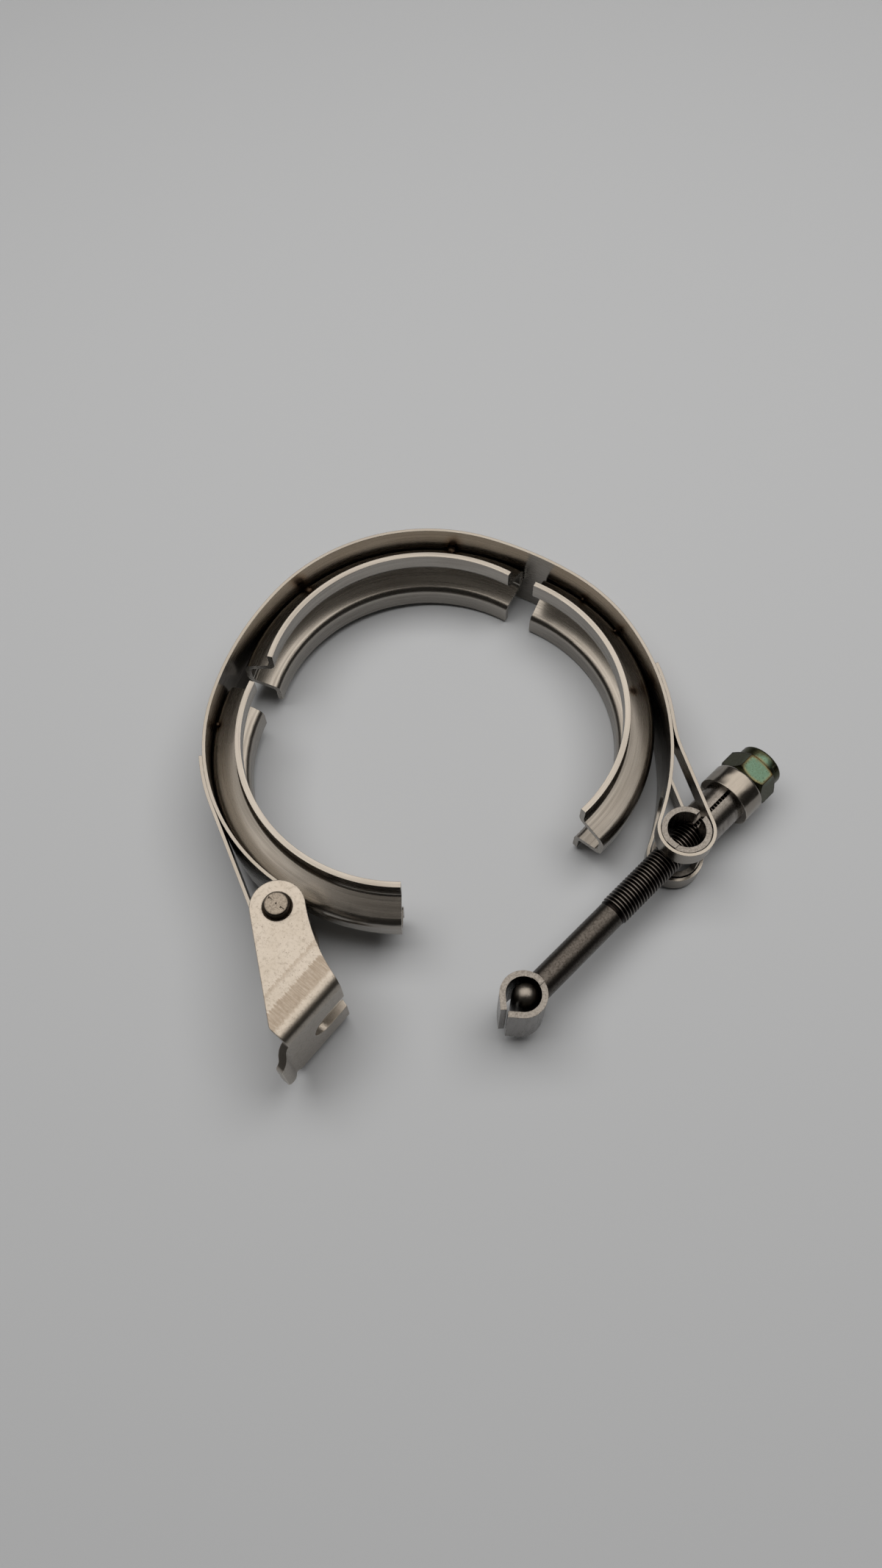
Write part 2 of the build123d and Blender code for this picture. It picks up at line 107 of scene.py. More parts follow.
# Bright ceiling that the metal mirrors: where it lies, and where it fades out
CEILING_LEAN = math.radians(22)
CEILING_FADE = (math.radians(22), math.radians(42))
CEILING_SIDES = (0.5, 0.88)
CEILING_WARMTH = (1.0, 0.94, 0.87)
ROOM_LEVEL = 0.03
AMBIENT = (0.05, 0.05, 0.05, 1.0)
BACKDROP = (0.42, 0.42, 0.42, 1.0)

# Camera
CAMERA_PLACE = (3.52, -155.46, 270.4)
CAMERA_TILT = math.radians(64.003)
CAMERA_ROLL = math.radians(-1.2102)
SENSOR_WIDTH = 36.0

# Mesh limits, in millimetres but for the angle
SHARP_ANGLE = math.radians(28)
CAD_MERGE = 0.0005
MERGE = 0.0004
SLIVER = 0.0002

# Kinds of node
NOISE = "ShaderNodeTexNoise"
SPAN = "ShaderNodeMapRange"
BLEND = "ShaderNodeMix"
MATHS = "ShaderNodeMath"
VECTORS = "ShaderNodeVectorMath"
PARTS = "ShaderNodeSeparateXYZ"


def linear(code):
    """Linear colour, with alpha, of an sRGB hex code."""
    parts = [int(code[i:i + 2], 16) / 255 for i in (1, 3, 5)]
    return tuple(c / 12.92 if c <= 0.04045 else ((c + 0.055) / 1.055) ** 2.4 for c in parts) + (1.0,)


def swatch(name, description, code):
    """Colour property with a hex default."""
    return FloatVectorProperty(
        name=name, description=description, subtype="COLOR", size=4, min=0, max=1, default=linear(code)
    )


class ClampFinish(bpy.types.PropertyGroup):
    """Colours of the clamp's metals."""

    rolled: swatch("Rolled Stainless", "Strap", "#97928B")
    pressed: swatch("Pressed Stainless", "Retainers", "#A19C95")
    tumbled: swatch("Tumbled Stainless", "Latch", "#ABA49B")
    stamped: swatch("Stamped Stainless", "Trunnion", "#8E8984")
    # T head: a darker tone than the trunnion's.
    headed: swatch("Darker Stainless", "T head", "#6F6B67")
    drawn: swatch("Drawn Stainless", "Ferrule", "#958F87")
    staked: swatch("Staked Steel", "Latch pin", "#8C847A")
    bolt: swatch("Bolt Steel", "Shank of the bolt", "#585450")
    # Near black, painted on the thread's flanks and roots as shade.
    thread: swatch("Painted Thread Shade", "Flanks of the thread", "#231F1D")
    # Teal, painted on the facet that faces the light: partly the film's colour, partly a painted highlight.
    film_teal: swatch("Chromate Teal", "Nut, where the film turns blue-green", "#5D7665")
    film_olive: swatch("Chromate Olive", "Nut, where the film is even", "#3F412F")
    film_gold: swatch("Chromate Gold", "Nut, near its edges", "#9C7F4A")
    film_brown: swatch("Chromate Brown", "Nut, on its worn edges", "#241B13")
    tint_straw: swatch("Straw Tint", "Outer ring of a weld's heat tint", "#7A6248")
    tint_brown: swatch("Brown Tint", "Core of a weld's heat tint", "#33261D")


class ClampThread(bpy.types.PropertyGroup):
    """Form of the bolt's thread."""

    pitch: FloatProperty(
        name="Pitch", description="Distance between turns", unit="LENGTH", default=1.0 * MM, min=0.5 * MM, max=2 * MM
    )
    crest: FloatProperty(
        name="Crest Radius", description="Outer radius", unit="LENGTH", default=3.98 * MM, min=2 * MM, max=4 * MM
    )
    root: FloatProperty(
        name="Root Radius", description="Radius at the thread's root", unit="LENGTH", default=3.4 * MM, min=2 * MM
    )
    steps: IntProperty(name="Steps", description="Steps round one turn", default=40, min=12, max=96)


class ClampStage(bpy.types.PropertyGroup):
    """Floor, light and camera."""

    floor: swatch("Floor", "Matt paper that the clamp lies on", "#BEBEBE")
    lamp: FloatProperty(name="Lamp", description="Power of the soft lamp overhead", unit="POWER", default=7.6)
    ceiling: FloatProperty(
        name="Ceiling", description="Brightness of the ceiling in reflections", default=1.75, min=0
    )
    lens: FloatProperty(name="Lens", description="Focal length", unit="CAMERA", default=25.99)


def add(tree, kind, *inputs, named=None, **settings):
    """Add a node with its settings, fill its inputs in order or by name, and return its first output."""
    node = tree.nodes.new(kind)
    for key, value in settings.items():
        setattr(node, key, value)
    used = [socket for socket in node.inputs if socket.enabled]
    pairs = list(zip(used, inputs))
    for key, value in (named or {}).items():
        pairs.append((next(socket for socket in used if socket.name == key), value))
    for socket, value in pairs:
        if isinstance(value, bpy.types.NodeSocket):
            tree.links.new(value, socket)
        elif value is not None:
            socket.default_value = value
    return next((socket for socket in node.outputs if socket.enabled), None)


def metal(name):
    """Material of bare metal. Returns it with its tree and shader."""
    made = bpy.data.materials.new(name)
    made.use_nodes = True
    shader = made.node_tree.nodes["Principled BSDF"]
    shader.inputs["Metallic"].default_value = 1.0
    return made, made.node_tree, shader


def local_mm(tree, origin=(0.0, 0.0), heading=0.0):
    """Position in millimetres from a point of the clamp, with X along a heading."""
    where = add(tree, "ShaderNodeTexCoord").node.outputs["Object"]
    place = (origin[0] * MM, origin[1] * MM, 0.0)
    return add(
        tree, "ShaderNodeMapping", where, place, (0.0, 0.0, heading), (MM, MM, MM), vector_type="TEXTURE"
    )


def round_arc(tree, position, radius):
    """Position as (length round the arc, distance from its centre, height)."""
    parts = add(tree, PARTS, position).node.outputs
    flat = add(tree, VECTORS, position, (1.0, 1.0, 0.0), operation="MULTIPLY")
    distance = add(tree, VECTORS, flat, operation="LENGTH")
    angle = add(tree, MATHS, parts["Y"], parts["X"], operation="ARCTAN2")
    along = add(tree, MATHS, angle, radius, operation="MULTIPLY")
    return add(tree, "ShaderNodeCombineXYZ", along, distance, parts["Z"])


def rounded_edges_and_highlight(tree, radius):
    """Normal with edges rounded to a radius in millimetres, and how near a point is to such an edge, which most callers
    use to paint a highlight along the edges.
    """
    soft = add(tree, "ShaderNodeBevel", radius * MM, samples=6)
    flat = add(tree, "ShaderNodeNewGeometry").node.outputs["Normal"]
    same = add(tree, VECTORS, soft, flat, operation="DOT_PRODUCT")
    return soft, add(tree, SPAN, same, 0.985, 0.8, 0.0, 1.0)


def lay(tree, shader, tone, rough, normal, height, depth):
    """Join colour, roughness and a height pattern of a depth in millimetres to a shader."""
    bump = add(tree, "ShaderNodeBump", named={"Height": height, "Normal": normal, "Distance": depth * MM})
    tree.links.new(tone, shader.inputs["Base Color"])
    tree.links.new(rough, shader.inputs["Roughness"])
    tree.links.new(bump, shader.inputs["Normal"])


def even_shading():
    """Node group that joins a CAD mesh's loose triangles and shades it smooth between sharp edges."""
    name = "Even Shading"
    if name in bpy.data.node_groups:
        return bpy.data.node_groups[name]
    group = bpy.data.node_groups.new(name, "GeometryNodeTree")
    group.interface.new_socket("Geometry", in_out="INPUT", socket_type="NodeSocketGeometry")
    group.interface.new_socket("Geometry", in_out="OUTPUT", socket_type="NodeSocketGeometry")
    source = add(group, "NodeGroupInput")
    merged = add(group, "GeometryNodeMergeByDistance", named={"Geometry": source, "Distance": CAD_MERGE * MM})
    smooth = add(group, "GeometryNodeSetShadeSmooth", named={"Geometry": merged}, domain="FACE")
    angle = add(group, "GeometryNodeInputMeshEdgeAngle")
    sharp = add(group, "FunctionNodeCompare", named={"A": angle, "B": SHARP_ANGLE}, operation="GREATER_THAN")
    edges = add(
        group,
        "GeometryNodeSetShadeSmooth",
        named={"Geometry": smooth, "Selection": sharp, "Shade Smooth": False},
        domain="EDGE",
    )
    add(group, "NodeGroupOutput", edges)
    return group


def dress(name, material):
    """Give a CAD node its finish and its smooth shading."""
    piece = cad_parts[name]
    for place in piece.material_slots:
        place.material = material
    even = piece.modifiers.new("Even Shading", "NODES")
    even.node_group = even_shading()
    weighted = piece.modifiers.new("Weighted Normals", "WEIGHTED_NORMAL")
    weighted.keep_sharp = True


def heat_tint(tree, tone, finish):
    """Colour with the straw and brown marks of the spot welds."""
    at = local_mm(tree)
    nearest = None
    for place, radius in HEAT_MARKS:
        gap = add(tree, VECTORS, at, place, operation="DISTANCE")
        gap = add(tree, MATHS, gap, radius, operation="DIVIDE")
        nearest = add(tree, MATHS, nearest, gap, operation="MINIMUM") if nearest else gap
    ragged = add(tree, NOISE, at, 0.9, 3.0, 0.6)
    reach = add(tree, MATHS, ragged, 0.8, nearest, operation="MULTIPLY_ADD")
    straw = add(tree, SPAN, reach, 1.6, 1.1, 0.0, 0.55)
    brown = add(tree, SPAN, reach, 1.15, 0.8, 0.0, 0.9)
    tinted = add(tree, BLEND, straw, tone, finish.tint_straw, data_type="RGBA")
    return add(tree, BLEND, brown, tinted, finish.tint_brown, data_type="RGBA")


def rolled_stainless(finish):
    """Cold-rolled stainless strip with slit edges: faint lines along its length, and rounded edges lightened by a
    painted highlight.
    """
    made, tree, shader = metal("Rolled Stainless")
    at = local_mm(tree)
    soft, edge = rounded_edges_and_highlight(tree, 0.15)
    stretched = add(tree, VECTORS, at, (0.03, 0.03, 3.0), operation="MULTIPLY")
    lines = add(tree, NOISE, stretched, 1.0, 4.0, 0.55)
    smudge = add(tree, NOISE, at, 0.09, 4.0, 0.55)
    tone = add(
        tree, BLEND, add(tree, SPAN, lines, 0.4, 0.7, 0.0, 0.35), finish.rolled, linear("#8B867F"), data_type="RGBA"
    )
    tone = add(tree, BLEND, add(tree, SPAN, smudge, 0.45, 0.7, 0.0, 0.3), tone, linear("#908778"), data_type="RGBA")
    tone = heat_tint(tree, tone, finish)
    # The light tone at the edges is a painted highlight.
    tone = add(tree, BLEND, edge, tone, linear("#D2CEC8"), data_type="RGBA")
    rough = add(tree, SPAN, lines, 0.3, 0.7, 0.2, 0.3)
    lay(tree, shader, tone, rough, soft, lines, 0.0015)
    return made


def pressed_stainless(finish, name, centre):
    """Stainless pressed and drawn over a die: draw lines run round the arc, with scuffs where it slid."""
    made, tree, shader = metal(f"Pressed Stainless {name}")
    at = local_mm(tree, centre)
    soft, edge = rounded_edges_and_highlight(tree, 0.15)
    arc = round_arc(tree, at, BACK_ARC)
    stretched = add(tree, VECTORS, arc, (0.03, 1.3, 1.3), operation="MULTIPLY")
    draw = add(tree, NOISE, stretched, 1.0, 5.0, 0.6)
    stretched = add(tree, VECTORS, arc, (0.05, 0.35, 0.35), operation="MULTIPLY")
    band = add(tree, NOISE, stretched, 1.0, 2.0, 0.55)
    stretched = add(tree, VECTORS, arc, (0.5, 2.4, 2.4), operation="MULTIPLY")
    scuff = add(tree, NOISE, stretched, 1.0, 4.0, 0.7)
    patch = add(tree, NOISE, at, 0.1, 3.0, 0.6)
    tone = add(
        tree, BLEND, add(tree, SPAN, draw, 0.42, 0.66, 0.0, 0.42), finish.pressed, linear("#77726C"), data_type="RGBA"
    )
    tone = add(tree, BLEND, add(tree, SPAN, band, 0.5, 0.66, 0.0, 0.3), tone, linear("#837C74"), data_type="RGBA")
    scuffed = add(tree, SPAN, scuff, 0.62, 0.72, 0.0, 0.35)
    near = add(tree, SPAN, patch, 0.5, 0.6, 0.0, 1.0)
    scuffed = add(tree, MATHS, scuffed, near, operation="MULTIPLY")
    tone = add(tree, BLEND, scuffed, tone, linear("#4E4944"), data_type="RGBA")
    tone = heat_tint(tree, tone, finish)
    # The light tone at the edges is a painted highlight.
    tone = add(tree, BLEND, edge, tone, linear("#D2CDC6"), data_type="RGBA")
    rough = add(tree, SPAN, draw, 0.3, 0.7, 0.2, 0.32)
    lay(tree, shader, tone, rough, soft, draw, 0.004)
    return made


def weld_scale(finish):
    """Metal thrown from a weld and oxidised as it froze: near black, with a dull wrinkled skin."""
    made, tree, shader = metal("Weld Scale")
    at = local_mm(tree)
    soft = rounded_edges_and_highlight(tree, 0.1)[0]
    skin = add(tree, NOISE, at, 2.0, 3.0, 0.6)
    tone = add(
        tree, BLEND, add(tree, SPAN, skin, 0.4, 0.65, 0.0, 1.0), finish.tint_brown, linear("#5B4D40"), data_type="RGBA"
    )
    rough = add(tree, SPAN, skin, 0.3, 0.7, 0.35, 0.55)
    lay(tree, shader, tone, rough, soft, skin, 0.05)
    return made


def tumbled_stainless(finish):
    """Stamped stainless tumbled with stones: a fine dull grain with pits, darker in ragged bands beside the bend, and a
    painted highlight on the edges.
    """
    made, tree, shader = metal("Tumbled Stainless")
    at = local_mm(tree, PIN_AXIS, LATCH_HEADING)
    soft, edge = rounded_edges_and_highlight(tree, 0.35)
    grain = add(tree, NOISE, at, 1.7, 4.0, 0.65)
    pits = add(tree, NOISE, at, 3.1, 2.0, 0.5)
    patch = add(tree, NOISE, at, 0.16, 3.0, 0.5)
    # Darker in ragged bands beside the bend, on the parts more than about 14.7 mm above or below the middle.
    stretched = add(tree, VECTORS, at, (0.22, 2.2, 0.2), operation="MULTIPLY")
    strokes = add(tree, NOISE, stretched, 1.0, 3.0, 0.6)
    ragged = add(tree, MATHS, strokes, 2.4, add(tree, PARTS, at), operation="MULTIPLY_ADD")
    parts = add(tree, PARTS, at).node.outputs
    top = add(tree, SPAN, add(tree, MATHS, parts["Z"], operation="ABSOLUTE"), 14.6, 14.8, 0.0, 1.0)
    broad_in = add(tree, SPAN, ragged, 17.0, 17.5, 0.0, 1.0)
    broad_out = add(tree, SPAN, ragged, 21.2, 21.9, 1.0, 0.0)
    thin_in = add(tree, SPAN, ragged, 13.6, 13.9, 0.0, 0.6)
    thin_out = add(tree, SPAN, ragged, 14.3, 15.0, 1.0, 0.0)
    broad = add(tree, MATHS, broad_in, broad_out, operation="MULTIPLY")
    thin = add(tree, MATHS, thin_in, thin_out, operation="MULTIPLY")
    tone_zone = add(tree, MATHS, add(tree, MATHS, broad, thin, operation="MAXIMUM"), top, operation="MULTIPLY")
    tone_zone = add(tree, MATHS, tone_zone, add(tree, SPAN, strokes, 0.3, 0.6, 0.45, 0.95), operation="MULTIPLY")
    tone = add(
        tree, BLEND, add(tree, SPAN, patch, 0.4, 0.7, 0.0, 0.3), finish.tumbled, linear("#9A9184"), data_type="RGBA"
    )
    tone = add(tree, BLEND, add(tree, SPAN, grain, 0.52, 0.7, 0.0, 0.4), tone, linear("#756C60"), data_type="RGBA")
    tone = add(tree, BLEND, add(tree, SPAN, pits, 0.66, 0.74, 0.0, 0.7), tone, linear("#4A423A"), data_type="RGBA")
    tone = add(tree, BLEND, tone_zone, tone, linear("#867B6E"), data_type="RGBA")
    # The light tone at the edges is a painted highlight.
    tone = add(tree, BLEND, edge, tone, linear("#D4CEC4"), data_type="RGBA")
    rough = add(tree, SPAN, grain, 0.3, 0.75, 0.27, 0.42)
    height = add(tree, MATHS, pits, -0.4, grain, operation="MULTIPLY_ADD")
    lay(tree, shader, tone, rough, soft, height, 0.02)
    return made


def staked_pin_steel(finish):
    """Turned steel pin, staked by a press: a dull grainy end with a darker rim."""
    made, tree, shader = metal("Staked Pin Steel")
    at = local_mm(tree, PIN_AXIS, LATCH_HEADING)
    soft = rounded_edges_and_highlight(tree, 0.15)[0]
    grain = add(tree, NOISE, at, 2.4, 4.0, 0.65)
    reach = add(tree, VECTORS, add(tree, VECTORS, at, (1.0, 1.0, 0.0), operation="MULTIPLY"), operation="LENGTH")
    tone = add(
        tree, BLEND, add(tree, SPAN, grain, 0.45, 0.7, 0.0, 0.7), finish.staked, linear("#5A524A"), data_type="RGBA"
    )
    tone = add(tree, BLEND, add(tree, SPAN, reach, 2.45, 2.75, 0.0, 0.6), tone, linear("#3C3630"), data_type="RGBA")
    rough = add(tree, SPAN, grain, 0.3, 0.75, 0.3, 0.45)
    lay(tree, shader, tone, rough, soft, grain, 0.03)
    return made


def bushing_steel():
    """Cut steel tube, plain and slightly dull, with a painted highlight on its edges."""
    made, tree, shader = metal("Bushing Steel")
    at = local_mm(tree, PIN_AXIS)
    soft, edge = rounded_edges_and_highlight(tree, 0.15)
    stretched = add(tree, VECTORS, at, (0.3, 0.3, 4.0), operation="MULTIPLY")
    rings = add(tree, NOISE, stretched, 1.0, 3.0, 0.55)
    # Lighter at the edges: a painted highlight.
    tone = add(tree, BLEND, edge, linear("#8F8B86"), linear("#C6C2BC"), data_type="RGBA")
    rough = add(tree, SPAN, rings, 0.3, 0.7, 0.32, 0.45)
    lay(tree, shader, tone, rough, soft, rings, 0.005)
    return made


def stamped_stainless(drawn_tone, name, origin):
    """Blanked and rolled stainless: drawn faces, and sheared ends with a torn grain, with a bright painted highlight
    along the edges.
    """
    made, tree, shader = metal(f"Stamped Stainless {name}")
    at = local_mm(tree, origin, BOLT_HEADING)
    soft, edge = rounded_edges_and_highlight(tree, 0.15)
    stretched = add(tree, VECTORS, at, (0.9, 0.9, 0.12), operation="MULTIPLY")
    lines = add(tree, NOISE, stretched, 1.0, 5.0, 0.6)
    torn = add(tree, NOISE, at, 2.2, 4.0, 0.7)
    facing = add(tree, "ShaderNodeNewGeometry").node.outputs["True Normal"]
    level = add(tree, MATHS, add(tree, PARTS, facing).node.outputs["Z"], operation="ABSOLUTE")
    sheared = add(tree, SPAN, level, 0.9, 0.97, 0.0, 1.0)
    tone = add(
        tree, BLEND, add(tree, SPAN, lines, 0.45, 0.7, 0.0, 0.55), drawn_tone, linear("#5C5854"), data_type="RGBA"
    )
    broken = add(
        tree, BLEND, add(tree, SPAN, torn, 0.4, 0.65, 0.0, 0.75), linear("#8D8984"), linear("#5E5954"), data_type="RGBA"
    )
    tone = add(tree, BLEND, sheared, tone, broken, data_type="RGBA")
    # The light tone at the edges is a painted highlight.
    tone = add(tree, BLEND, edge, tone, linear("#D6D2CC"), data_type="RGBA")
    rough = add(tree, MATHS, sheared, 0.14, add(tree, SPAN, lines, 0.3, 0.7, 0.2, 0.32), operation="MULTIPLY_ADD")
    height = add(tree, MATHS, torn, add(tree, SPAN, sheared, 0.0, 1.0, 0.15, 1.2), lines, operation="MULTIPLY_ADD")
    lay(tree, shader, tone, rough, soft, height, 0.012)
    return made


def drawn_stainless(finish):
    """Deep-drawn stainless cap: bright, with soft dents from crimping."""
    made, tree, shader = metal("Drawn Stainless")
    at = local_mm(tree, TRUNNION_AXIS, BOLT_HEADING)
    soft, edge = rounded_edges_and_highlight(tree, 0.4)
    dents = add(tree, NOISE, at, 0.3, 0.0, 0.4)
    stretched = add(tree, VECTORS, at, (0.15, 1.2, 1.2), operation="MULTIPLY")
    fine = add(tree, NOISE, stretched, 1.0, 4.0, 0.55)
    tone = add(
        tree, BLEND, add(tree, SPAN, fine, 0.45, 0.7, 0.0, 0.3), finish.drawn, linear("#857F77"), data_type="RGBA"
    )
    # The light tone at the edges is a painted highlight.
    tone = add(tree, BLEND, edge, tone, linear("#CCC7BF"), data_type="RGBA")
    rough = add(tree, SPAN, fine, 0.3, 0.7, 0.17, 0.28)
    height = add(tree, MATHS, fine, 0.01, dents, operation="MULTIPLY_ADD")
    lay(tree, shader, tone, rough, soft, height, 0.3)
    return made


def dark_bolt_steel(finish):
    """Plain bolt steel, heat treated and oiled: dark and grainy; painted near black on the thread's flanks and roots as
    shade, with a painted highlight on the crests and on the cross bar's round ends.
    """
    made, tree, shader = metal("Dark Bolt Steel")
    at = local_mm(tree, TRUNNION_AXIS, BOLT_HEADING)
    grain = add(tree, NOISE, at, 1.9, 4.0, 0.7)
    parts = add(tree, PARTS, at).node.outputs
    across = add(tree, VECTORS, at, (0.0, 1.0, 1.0), operation="MULTIPLY")
    radius = add(tree, VECTORS, across, operation="LENGTH")
    # The thread's crests take a lighter tone, a painted highlight, and its flanks and roots the near-black thread
    # colour, a painted shade in the thread's recesses.
    threaded = add(tree, SPAN, parts["X"], THREAD_START - 0.3, THREAD_START, 0.0, 1.0)
    root = add(tree, MATHS, add(tree, SPAN, radius, 3.96, 3.86, 0.0, 1.0), threaded, operation="MULTIPLY")
    tone = add(
        tree, BLEND, add(tree, SPAN, grain, 0.42, 0.66, 0.0, 0.8), finish.bolt, linear("#37332F"), data_type="RGBA"
    )
    crest = add(tree, BLEND, threaded, tone, linear("#8E8882"), data_type="RGBA")
    tone = add(tree, BLEND, root, crest, finish.thread, data_type="RGBA")
    # Lighter towards the cross bar's round ends: a painted highlight on the dome seen in the T head.
    height = add(tree, MATHS, parts["Z"], operation="ABSOLUTE")
    tone_zone = add(tree, SPAN, add(tree, MATHS, grain, 3.0, height, operation="MULTIPLY_ADD"), 6.6, 8.6, 0.0, 1.0)
    tone = add(tree, BLEND, tone_zone, tone, linear("#8A857F"), data_type="RGBA")
    rough = add(tree, SPAN, grain, 0.3, 0.7, 0.26, 0.42)
    soft = rounded_edges_and_highlight(tree, 0.08)[0]
    lay(tree, shader, tone, rough, soft, grain, 0.03)
    return made


def yellow_zinc(finish):
    """Zinc plate with a yellow chromate film: olive, with teal and a gold rim on the one facet that faces the light,
    where the film's colour is mixed with a painted highlight, and brown specks and worn edges.
    """
    made, tree, shader = metal("Yellow Zinc Chromate")
    at = local_mm(tree, TRUNNION_AXIS, BOLT_HEADING)
    soft = rounded_edges_and_highlight(tree, 0.35)[0]
    wide = add(tree, "ShaderNodeBevel", 1.5 * MM, samples=8)
    flat = add(tree, "ShaderNodeNewGeometry").node.outputs["Normal"]
    inner = add(tree, SPAN, add(tree, VECTORS, wide, flat, operation="DOT_PRODUCT"), 1.0, 0.93, 0.0, 1.0)
    ragged = add(tree, NOISE, at, 1.6, 4.0, 0.6)
    rim = add(tree, MATHS, ragged, 0.5, inner, operation="MULTIPLY_ADD")
    specks = add(tree, NOISE, at, 3.0, 2.0, 0.5)
    # Teal, with a gold rim, on the one facet that faces the light: the film's colours mixed with a painted highlight;
    # the other facets stay olive.
    away = add(tree, VECTORS, local_mm(tree), LIT_TEAL_FACET, operation="DISTANCE")
    film_and_sheen = add(tree, SPAN, add(tree, MATHS, ragged, 1.6, away, operation="MULTIPLY_ADD"), 5.6, 4.0, 0.0, 1.0)
    tone = add(tree, BLEND, film_and_sheen, finish.film_olive, finish.film_teal, data_type="RGBA")
    gold = add(tree, MATHS, add(tree, SPAN, rim, 0.3, 0.6, 0.0, 0.85), film_and_sheen, operation="MULTIPLY")
    tone = add(tree, BLEND, gold, tone, finish.film_gold, data_type="RGBA")
    tone = add(tree, BLEND, add(tree, SPAN, specks, 0.62, 0.7, 0.0, 0.75), tone, finish.film_brown, data_type="RGBA")
    tone = add(tree, BLEND, add(tree, SPAN, rim, 0.7, 0.95, 0.0, 0.9), tone, finish.film_brown, data_type="RGBA")
    rough = add(tree, SPAN, ragged, 0.3, 0.7, 0.24, 0.4)
    lay(tree, shader, tone, rough, soft, specks, 0.012)
    return made


def matt_paper(stage):
    """Smooth matt paper: an even pale grey with no gloss."""
    made = bpy.data.materials.new("Matt Paper")
    made.use_nodes = True
    shader = made.node_tree.nodes["Principled BSDF"]
    shader.inputs["Base Color"].default_value = stage.floor
    shader.inputs["Roughness"].default_value = 0.8
    shader.inputs["Specular IOR Level"].default_value = 0.15
    return made


def settle(made, name):
    """Object at the origin from a finished mesh, which is freed."""
    mesh = bpy.data.meshes.new(name)
    made.to_mesh(mesh)
    made.free()
    piece = bpy.data.objects.new(name, mesh)
    bpy.context.scene.collection.objects.link(piece)
    return piece


def on_bolt(station, radius):
    """Point over the bolt's axis, in metres."""
    run = Vector((math.cos(BOLT_HEADING), math.sin(BOLT_HEADING), 0.0))
    return Vector((*TRUNNION_AXIS, 0.0)) * MM + run * station * MM + Vector((0.0, 0.0, radius * MM))


def turn_thread(thread):
    """Thread of the bolt: one pitch of its profile, spun along a screw line and trimmed at both ends."""
    run = (on_bolt(1, 0) - on_bolt(0, 0)).normalized()
    pitch = thread.pitch / MM
    crest, root = thread.crest / MM, thread.root / MM
    turns = math.ceil((BOLT_END - THREAD_START) / pitch) + 2
    first = THREAD_START - pitch
    made = bmesh.new()
    profile = ((0.0, root), (0.1, root), (0.43, crest), (0.57, crest), (0.9, root), (1.0, root))
    points = [made.verts.new(on_bolt(first + part * pitch, radius)) for part, radius in profile]
    for a, b in zip(points, points[1:]):
        made.edges.new((a, b))
    steps = thread.steps * turns
    bmesh.ops.spin(
        made,
        geom=made.verts[:] + made.edges[:],
        cent=on_bolt(0, 0),
        axis=run,
        dvec=run * (pitch * MM / thread.steps),
        angle=-2 * math.pi * turns,
        steps=steps,
        use_merge=False,
        use_duplicate=False,
    )
    bmesh.ops.remove_doubles(made, verts=made.verts[:], dist=MERGE * MM)
    for station, side in ((THREAD_START, -1), (BOLT_END, 1)):
        bmesh.ops.bisect_plane(
            made,
            geom=made.verts[:] + made.edges[:] + made.faces[:],
            dist=1e-8,
            plane_co=on_bolt(station, 0),
            plane_no=run * side,
            clear_outer=True,
        )
    # Run-out onto the shank, and the chamfer at the end
    middle = on_bolt(0, 0)
    for point in made.verts:
        station = (point.co - middle).dot(run) / MM
        foot = on_bolt(station, 0)
        radius = (point.co - foot).length / MM
        start = min(max((station - THREAD_START) / RUN_OUT, 0.0), 1.0)
        wanted = SHANK_RADIUS + (radius - SHANK_RADIUS) * start
        wanted = min(wanted, thread.crest / MM - END_CHAMFER + (BOLT_END - station))
        point.co = foot + (point.co - foot) * (wanted / radius)
    return made, run


